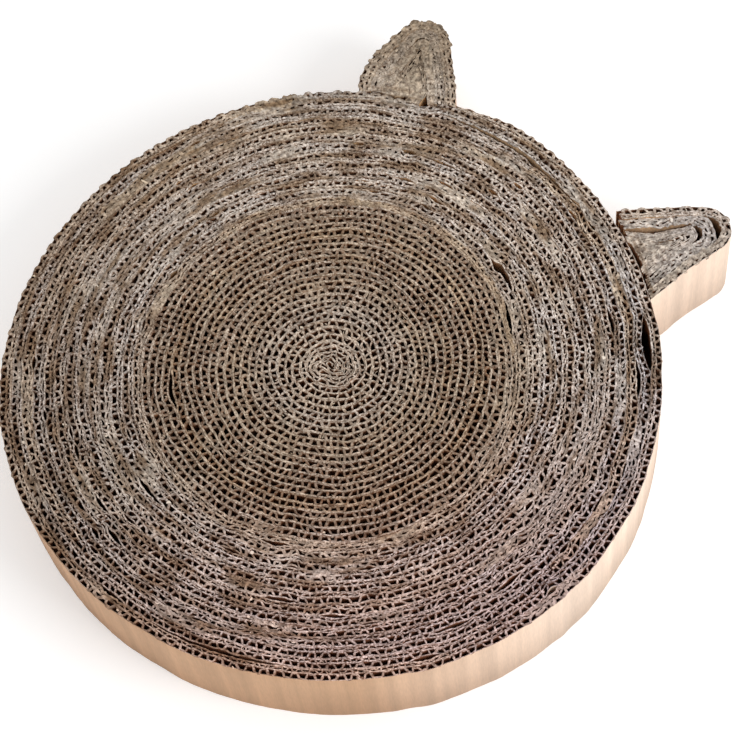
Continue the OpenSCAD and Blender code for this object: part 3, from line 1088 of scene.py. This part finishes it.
# The tints of the sides: the direction from that of the view, where the tint starts and
# where it is full, and the tint. The inner disc has a tint of its own.
REGION_TINTS = (
    (180, 50 * MM, 170 * MM, shade(222, 218, 215)),
    (-30, 90 * MM, 175 * MM, shade(242, 246, 255)),
    (-85, 40 * MM, 160 * MM, shade(252, 234, 236)),
    (95, 60 * MM, 180 * MM, shade(242, 240, 236)),
    (69, 182 * MM, 215 * MM, shade(216, 211, 204)),
)
DISC_TINT = shade(224, 216, 204)
# Where the disc's tint starts to fade out towards the roll, where it ends, and how far
ROLL_EDGE, ROLL_CORE, ROLL_CLEAR = 45 * MM, 15 * MM, 0.75
# Painted shade in the partings: the tint that darkens the linings, full up to 35 mm and gone from
# 70 mm towards the side away from the camera
NEAR_LINING_SHADE, NEAR_SHADE_REACH = shade(168, 138, 122), (70 * MM, 35 * MM)
# Directions of the pale liner faces, paler partly as liners and partly as painted light on the lit
# right side, and of the side with few streaks, with where each starts and where it is full, and
# where the streaks end at the ears
PALE_LIT_SIDE, PALE_LIT_REACH = -10, (20 * MM, 130 * MM)
CLEAN_SIDE, CLEAN_REACH = -62, (118 * MM, 158 * MM)
EAR_START = (186 * MM, 192 * MM)
# Heights over which the paler edges of the flutes' walls and of the linings fade out: paler fibres
# at the cut, and at the top also painted light where light reaches into the cells
CELL_EDGE_LIGHT, LINING_EDGE_LIGHT, EDGE_START = 0.9 * MM, 0.6 * MM, 0.1 * MM
# Places of the colour sockets of a Mix node
MIX_FACTOR, MIX_A, MIX_B, MIX_RESULT = 0, 6, 7, 2


def add_node(tree, kind, inputs, **settings):
    """A node with its settings. Each input is linked to a socket or set to a value."""
    node = tree.nodes.new(f"ShaderNode{kind}")
    for name, value in settings.items():
        setattr(node, name, value)
    for label, value in inputs.items():
        socket = node.inputs[label]
        if isinstance(value, bpy.types.NodeSocket):
            tree.links.new(value, socket)
        else:
            socket.default_value = (*value[:3], 1) if socket.type == "RGBA" else value
    return node


def new_material(name, roughness, specular):
    """A new material's nodes and its principled shader, which has no colour yet."""
    material = bpy.data.materials.new(name)
    material.use_nodes = True
    tree = material.node_tree
    tree.nodes.clear()
    inputs = {"Roughness": roughness, "Specular IOR Level": specular}
    shader = add_node(tree, "BsdfPrincipled", inputs)
    add_node(tree, "OutputMaterial", {"Surface": shader.outputs["BSDF"]})
    return tree, shader


def object_place(tree, **inputs):
    """Object coordinates, scaled or turned."""
    where = add_node(tree, "TexCoord", {}).outputs["Object"]
    return add_node(tree, "Mapping", {"Vector": where, **inputs}).outputs["Vector"]


def attribute(tree, name):
    return add_node(tree, "Attribute", {}, attribute_name=name).outputs["Fac"]


def spread(tree, value, low, high, out_low=0.0, out_high=1.0):
    """A value between two limits, mapped to another range and kept in it."""
    inputs = {"From Min": low, "From Max": high, "To Min": out_low, "To Max": out_high}
    return add_node(tree, "MapRange", {"Value": value, **inputs}).outputs["Result"]


def noise(tree, scale, detail, *limits, stretch=(1, 1, 1)):
    """Noise on object coordinates, with its scale per metre, spread between limits."""
    inputs = {"Vector": object_place(tree, Scale=stretch), "Scale": scale, "Detail": detail}
    return spread(tree, add_node(tree, "TexNoise", inputs).outputs["Fac"], *limits)


def blend_colour(tree, factor, first, second, mode="MIX"):
    """Two colours mixed by a factor. Each may be a socket or a plain value."""
    inputs = {MIX_FACTOR: factor, MIX_A: first, MIX_B: second}
    mix = add_node(tree, "Mix", inputs, data_type="RGBA", blend_type=mode)
    return mix.outputs[MIX_RESULT]


def times(tree, colour, factor):
    """A colour multiplied by a factor or by another colour."""
    return blend_colour(tree, 1.0, colour, factor, "MULTIPLY")


def tinted(tree, colour, factor, tint):
    """A colour multiplied by a tint, as far as the factor goes."""
    return blend_colour(tree, factor, colour, times(tree, colour, tint))


def towards(tree, degrees, *limits):
    """How far a place lies towards a direction, spread between limits.

    The direction is counted from that of the photograph's view.
    """
    place = object_place(tree, Rotation=(0, 0, -np.radians(degrees + VIEW_ANGLE)))
    return spread(tree, add_node(tree, "SeparateXYZ", {"Vector": place}).outputs["X"], *limits)


def from_middle(tree, *limits):
    """Distance of a place from the upright axis, spread between limits."""
    flat = object_place(tree, Scale=(1, 1, 0))
    length = add_node(tree, "VectorMath", {0: flat}, operation="LENGTH").outputs["Value"]
    return spread(tree, length, *limits)


def streaks(tree, round_scale, radial_scale, *limits):
    """Noise drawn out along the layers, spread between limits.

    Its coordinates are the direction from the upright axis, times a number, and the distance
    from it, times another.
    """
    flat = object_place(tree, Scale=(1, 1, 0))
    unit = add_node(tree, "VectorMath", {0: flat}, operation="NORMALIZE").outputs["Vector"]
    inputs = {0: unit, "Scale": round_scale}
    longer = add_node(tree, "VectorMath", inputs, operation="SCALE").outputs["Vector"]
    parts = add_node(tree, "SeparateXYZ", {"Vector": longer}).outputs
    layer = from_middle(tree, 0, STREAK_REACH, 0, STREAK_REACH * radial_scale)
    joined = add_node(tree, "CombineXYZ", {"X": parts["X"], "Y": parts["Y"], "Z": layer})
    inputs = {"Vector": joined.outputs["Vector"], "Scale": 1}
    return spread(tree, add_node(tree, "TexNoise", inputs).outputs["Fac"], *limits)


def toned(tree, colour):
    """A colour shifted by the strip's tone, grey to straw, and by the side of the coil."""
    tone = attribute(tree, "tone")
    colour = tinted(tree, colour, spread(tree, tone, 0, -1), GREY_TINT)
    colour = tinted(tree, colour, spread(tree, tone, 0, 1), STRAW_TINT)
    for degrees, start, full, tint in REGION_TINTS:
        colour = tinted(tree, colour, towards(tree, degrees, start, full), tint)
    inside = from_middle(tree, DISC_EDGE, DISC_EDGE - DISC_FADE)
    disc = tinted(tree, colour, inside, DISC_TINT)
    roll = from_middle(tree, ROLL_EDGE, ROLL_CORE, 0, ROLL_CLEAR)
    return blend_colour(tree, roll, disc, colour)


def cut_edge_material(colours):
    """Fuzzy cut edges: a light ridge of fibres with a painted highlight, on darker shoulders with
    painted shade, paler where crushed.
    """
    tree, shader = new_material("cut_edge", 0.95, 0.2)
    crushed = attribute(tree, "crushed")
    fibres = noise(tree, 900, 3, 0.36, 0.62)
    shoulder = blend_colour(tree, fibres, colours.cell, colours.cut_dark)
    lit_fibre_ridge = blend_colour(tree, fibres, colours.cut_dark, colours.cut_edge)
    lit_fibre_ridge = blend_colour(tree, noise(tree, 60, 2, 0.4, 0.7, 0, 0.35), lit_fibre_ridge, colours.crushed)
    tufts = noise(tree, 430, 3, 0.38, 0.6, 0.15, 1)
    torn = blend_colour(tree, tufts, colours.cut_dark, colours.crushed)
    lit_fibre_ridge = blend_colour(tree, spread(tree, crushed, 0, 1, 0, 0.8), lit_fibre_ridge, torn)
    shoulder = blend_colour(tree, spread(tree, crushed, 0, 1, 0, 0.5), shoulder, lit_fibre_ridge)
    # Painted light: the mark mixes from the darker shoulders, as painted shade, up to the lighter
    # ridge of pale fibres, with a painted highlight
    colour = blend_colour(tree, attribute(tree, "lit_fibre_ridge"), shoulder, lit_fibre_ridge)
    colour = times(tree, colour, noise(tree, 330, 3, 0.36, 0.62, 0.62, 1.1))
    rough = times(tree, colour, noise(tree, 210, 2, 0.4, 0.6, 0.74, 1.08))
    colour = blend_colour(tree, spread(tree, crushed, 0.3, 1, 0, 0.8), colour, rough)
    # Streaks in the ring of double-wall board, fewer at one side, and none on the ears
    streaked = tinted(tree, colour, streaks(tree, 6, 220, 0.45, 0.62), STREAK_TINT)
    outer = from_middle(tree, DISC_EDGE - DISC_FADE, DISC_EDGE, 0.3, 1)
    streaked = blend_colour(tree, outer, colour, streaked)
    clean = towards(tree, CLEAN_SIDE, *CLEAN_REACH, 0, 0.8)
    streaked = blend_colour(tree, clean, streaked, colour)
    colour = blend_colour(tree, from_middle(tree, *EAR_START), streaked, colour)
    # Flakes
    colour = blend_colour(tree, spread(tree, crushed, 1, 2), colour, colours.crushed)
    tree.links.new(toned(tree, colour), shader.inputs["Base Color"])


def wall_material(name, wall, edge_colour, reach, near_shade=(1, 1, 1)):
    """Brown paper below the cut, with upright fibres, paler and fuzzy close to the cut, where the
    paleness at the top is partly painted light that reaches into the cells.

    A painted shade, as a tint, darkens all but the side away from the camera.
    """
    tree, shader = new_material(name, 0.9, 0.25)
    height = add_node(tree, "SeparateXYZ", {"Vector": object_place(tree)}).outputs["Z"]
    # Painted light: paler within reach of the top, where light falls into the cells, besides the
    # fuzzy fibres; the same band at the base
    near_top = spread(tree, height, STRIP_H - reach, STRIP_H - EDGE_START, 0, 0.8)
    near_base = spread(tree, height, reach, EDGE_START, 0, 0.8)
    edge = add_node(tree, "Math", {0: near_top, 1: near_base}, operation="MAXIMUM").outputs[0]
    fibres = noise(tree, 500, 3, 0.35, 0.65, 0.7, 1.1, stretch=(1, 1, 0.3))
    colour = times(tree, blend_colour(tree, edge, wall, edge_colour), fibres)
    # Painted shade: linings darker except on the side away from the camera
    near = towards(tree, 90, *NEAR_SHADE_REACH)
    colour = tinted(tree, toned(tree, colour), near, near_shade)
    tree.links.new(colour, shader.inputs["Base Color"])


def face_material(colours):
    """Smooth liner faces: kraft paper with fine upright fibres and faint bands of flutes, paler
    towards one side, partly as paler liners and partly as painted light.
    """
    tree, shader = new_material("liner_face", 0.75, 0.3)
    # Partly painted light: paler towards the right side, where the light falls
    pale_lit = towards(tree, PALE_LIT_SIDE, *PALE_LIT_REACH)
    colour = blend_colour(tree, pale_lit, colours.face, colours.pale_lit_face)
    fibres = noise(tree, 1400, 4, 0.3, 0.7, 0.93, 1.04, stretch=(1, 1, 0.12))
    bands = noise(tree, 130, 2, 0.35, 0.65, 0.9, 1.07, stretch=(1, 1, 0.02))
    clouds = noise(tree, 14, 3, 0.35, 0.65, 0.94, 1.04)
    for factor in (fibres, bands, clouds):
        colour = times(tree, colour, factor)
    tree.links.new(colour, shader.inputs["Base Color"])


def paper_materials(colours):
    """The four finishes in the order of their slots, made once.

    The linings are the faces of the liners inside the pad, which show where two layers part. Their
    colour is kraft painted much paler than the liner faces, a painted light, and a painted shade
    darkens them but on the side away from the camera.
    """
    names = ("cut_edge", "cell_wall", "lining", "liner_face")
    if not bpy.data.materials.get(names[0]):
        edge = colours.cut_edge
        cut_edge_material(colours)
        wall_material("cell_wall", colours.cell, edge, CELL_EDGE_LIGHT)
        wall_material("lining", colours.lining, edge, LINING_EDGE_LIGHT, NEAR_LINING_SHADE)
        face_material(colours)
    return [bpy.data.materials[name] for name in names]


# Pieces

# How far the outer liner of a strip reaches into the joint, as a share of the strips' reach
RIM_OVERLAP = 0.49
# Groups of strips: the slot, the mean and spread of the tones, and a number for the draws
SINGLE_GROUP = ("single_wall_board", (0.15, 0.2), 1)
DOUBLE_GROUP = ("double_wall_board", (0.05, 0.25), 2)


def make_winding(scene):
    """The winding, with its end just short of the left ear, as in the solids."""
    coil, ears = scene.scratcher_coil, scene.scratcher_ears
    coil_r = coil.diameter / 2
    seat_r = coil_r - coil.double_pitch
    centre = coil_r + ears.reach - ears.tip_radius
    half = (ears.tip_radius + (centre - seat_r) * np.sin(ears.flare)) / np.cos(ears.flare)
    left_ear = (np.pi + ears.spread) / 2
    end_angle = left_ear - np.arctan2(half, seat_r) - coil.joint / coil_r
    return Winding(coil, scene.scratcher_board.seed, end_angle)


def build_piece(scene, node, path, board, group, number, rim=False, overlap=(0, 0)):
    """Builds a strip in place of its solid, to ride on the one body."""
    slot, tones, draw = group
    rng = np.random.default_rng((scene.scratcher_board.seed, draw, number))
    sheets = build_board(rng, path, board, scene.scratcher_board, rim, overlap)
    tone = np.clip(rng.normal(*tones), -1, 1)
    piece = sheets.make(f"{node}_board", tone, paper_materials(scene.scratcher_colours))
    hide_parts(node)
    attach(piece, "root")


class SCRATCHER_OT_single_wall(bpy.types.Operator):
    """Wind the inner strips of single-wall board"""

    bl_idname = "scratcher.single_wall"
    bl_label = "Wind Single-Wall Strips"

    def execute(self, context):
        scene = context.scene
        winding = make_winding(scene)
        for i in range(SINGLE_COUNT):
            start, end = winding.single_end(i - 1), winding.single_end(i)
            start = winding.first_turn if i == 0 else start + winding.half_joint(start)
            path = Strip(winding, start, end - winding.half_joint(end))
            build_piece(scene, f"single_strip_{i + 1:02d}", path, SINGLE_WALL, SINGLE_GROUP, i)
        return {"FINISHED"}


class SCRATCHER_OT_double_wall(bpy.types.Operator):
    """Wind the outer strips of double-wall board"""

    bl_idname = "scratcher.double_wall"
    bl_label = "Wind Double-Wall Strips"

    def execute(self, context):
        scene = context.scene
        winding = make_winding(scene)
        joint = scene.scratcher_coil.joint
        reach = RIM_OVERLAP * winding.joint_share * joint
        last = len(DOUBLE_END_SHARES) - 1
        for i in range(last + 1):
            start, end = winding.double_end(i - 1), winding.double_end(i)
            stop = end if i == last else end - winding.half_joint(end)
            path = Strip(winding, start + winding.half_joint(start), stop)
            rim = end > winding.end_turn - 1
            overlap = (reach, joint if i == last else reach)
            node = f"double_strip_{i + 1:02d}"
            build_piece(scene, node, path, DOUBLE_WALL, DOUBLE_GROUP, i, rim, overlap)
        return {"FINISHED"}


def build_ear(scene, look):
    """The five pieces of one ear."""
    winding = make_winding(scene)
    for k, name in enumerate(EAR_PIECES):
        node = f"{look['side']}_ear_{name}"
        path = Fold(winding, scene.scratcher_ears, look, k)
        build_piece(scene, node, path, look["boards"][k], look["group"], k, k == 0)
    return {"FINISHED"}


class SCRATCHER_OT_left_ear(bpy.types.Operator):
    """Fold the strips of the left ear"""

    bl_idname = "scratcher.left_ear"
    bl_label = "Fold Left Ear"

    def execute(self, context):
        return build_ear(context.scene, LEFT_LOOK)


class SCRATCHER_OT_right_ear(bpy.types.Operator):
    """Fold the strips of the right ear"""

    bl_idname = "scratcher.right_ear"
    bl_label = "Fold Right Ear"

    def execute(self, context):
        return build_ear(context.scene, RIGHT_LOOK)


# Stage

WORLD_STRENGTH = 0.74
# The floor: half its side, its glow, and where that starts to grow and where it is full
FLOOR_HALF = 4.0
FLOOR_GLOW, GLOW_START, GLOW_FULL = 0.26, 0.6, 1.6
LAMP_PLACE, LAMP_SIZE, LAMP_POWER = (1.6, 0.35, 1.2), 0.9, 19


def place_camera(scene, stage):
    """A camera on a sphere round its aim, turned to the view and rolled in the picture."""
    level = np.cos(stage.elevation)
    away = Vector((
        level * np.sin(stage.azimuth), -level * np.cos(stage.azimuth), np.sin(stage.elevation)))
    aim = Vector(stage.aim)
    right = Vector((np.cos(stage.azimuth), np.sin(stage.azimuth), 0))
    up = away.cross(right)
    c, s = np.cos(stage.roll), np.sin(stage.roll)
    picture_right = right * c + up * s
    picture_up = up * c - right * s
    turn = Matrix((picture_right, picture_up, away)).transposed()
    camera = bpy.data.cameras.new("photo_camera")
    camera.lens = stage.lens
    camera.clip_start = 10 * MM
    holder = bpy.data.objects.new("photo_camera", camera)
    holder.matrix_world = Matrix.Translation(aim + away * stage.distance) @ turn.to_4x4()
    scene.collection.objects.link(holder)
    scene.camera = holder


def add_lamp(scene):
    """A square soft lamp that shines on the middle of the pad."""
    light = bpy.data.lights.new("key_lamp", "AREA")
    light.size = LAMP_SIZE
    light.energy = LAMP_POWER
    lamp = bpy.data.objects.new("key_lamp", light)
    lamp.location = LAMP_PLACE
    away = Vector(LAMP_PLACE) - Vector((0, 0, STRIP_H))
    lamp.rotation_euler = away.to_track_quat("Z", "Y").to_euler()
    scene.collection.objects.link(lamp)


def floor_material(colour):
    """A pale floor, seen a little brighter than the lamp makes it, and white far out."""
    tree, shader = new_material("studio_floor", 1, 0)
    shader.inputs["Base Color"].default_value = (*colour, 1)
    rays = add_node(tree, "LightPath", {}).outputs
    seen = rays["Is Camera Ray"]
    for ray in ("Is Glossy Ray", "Is Transmission Ray"):
        inputs = {0: seen, 1: rays[ray]}
        seen = add_node(tree, "Math", inputs, operation="ADD", use_clamp=True).outputs[0]
    inputs = {0: seen, 1: from_middle(tree, GLOW_START, GLOW_FULL, FLOOR_GLOW, 1)}
    strength = add_node(tree, "Math", inputs, operation="MULTIPLY").outputs[0]
    glow = add_node(tree, "Emission", {"Strength": strength}).outputs["Emission"]
    both = add_node(tree, "AddShader", {0: shader.outputs["BSDF"], 1: glow})
    output = next(node for node in tree.nodes if node.type == "OUTPUT_MATERIAL")
    tree.links.new(both.outputs["Shader"], output.inputs["Surface"])


def make_world(scene):
    """Even white light from all round, which the camera sees as white."""
    world = bpy.data.worlds.new("studio_world")
    world.use_nodes = True
    tree = world.node_tree
    tree.nodes.clear()
    light, seen = [
        add_node(tree, "Background", {"Color": (1, 1, 1), "Strength": strength}).outputs[0]
        for strength in (WORLD_STRENGTH, 1)]
    camera_ray = add_node(tree, "LightPath", {}).outputs["Is Camera Ray"]
    mix = add_node(tree, "MixShader", {0: camera_ray, 1: light, 2: seen})
    add_node(tree, "OutputWorld", {"Surface": mix.outputs[0]})
    scene.world = world


class SCRATCHER_OT_stage(bpy.types.Operator):
    """Set up the pale floor, the soft light and the camera of the photograph"""

    bl_idname = "scratcher.stage"
    bl_label = "Set Up Stage"

    def execute(self, context):
        scene = context.scene
        stage = scene.scratcher_stage
        corners = FLOOR_HALF * np.array([(-1, -1, 0), (1, -1, 0), (1, 1, 0), (-1, 1, 0)])
        mesh = bpy.data.meshes.new("studio_floor")
        mesh.from_pydata(corners, [], [(0, 1, 2, 3)])
        floor_material(stage.floor)
        mesh.materials.append(bpy.data.materials["studio_floor"])
        floor = bpy.data.objects.new("studio_floor", mesh)
        scene.collection.objects.link(floor)
        make_world(scene)
        add_lamp(scene)
        place_camera(scene, stage)
        scene.view_settings.view_transform = "Standard"
        return {"FINISHED"}


class SCRATCHER_PT_panel(bpy.types.Panel):
    """The scratcher's steps and sizes in the 3D view's sidebar"""

    bl_label = "Scratcher"
    bl_idname = "SCRATCHER_PT_panel"
    bl_space_type = "VIEW_3D"
    bl_region_type = "UI"
    bl_category = "Scratcher"

    def draw(self, context):
        layout = self.layout
        for operator in OPERATORS:
            layout.operator(operator.bl_idname)
        for name in GROUPS:
            group = getattr(context.scene, name)
            box = layout.box()
            for label in group.bl_rna.properties.keys():
                if label not in ("rna_type", "name"):
                    box.prop(group, label)


GROUPS = {
    "scratcher_coil": CoilSizes,
    "scratcher_board": BoardSizes,
    "scratcher_ears": EarSizes,
    "scratcher_colours": PaperColours,
    "scratcher_stage": StageSizes,
}
OPERATORS = (
    SCRATCHER_OT_single_wall,
    SCRATCHER_OT_double_wall,
    SCRATCHER_OT_left_ear,
    SCRATCHER_OT_right_ear,
    SCRATCHER_OT_stage,
)
CLASSES = (*GROUPS.values(), *OPERATORS, SCRATCHER_PT_panel)


def register():
    for cls in CLASSES:
        bpy.utils.register_class(cls)
    for name, group in GROUPS.items():
        setattr(bpy.types.Scene, name, PointerProperty(type=group))


def unregister():
    for name in GROUPS:
        delattr(bpy.types.Scene, name)
    for cls in reversed(CLASSES):
        bpy.utils.unregister_class(cls)


def main():
    register()
    bpy.ops.scratcher.single_wall()
    bpy.ops.scratcher.double_wall()
    bpy.ops.scratcher.left_ear()
    bpy.ops.scratcher.right_ear()
    bpy.ops.scratcher.stage()
    bpy.context.view_layer.update()


if __name__ == "__main__":
    main()
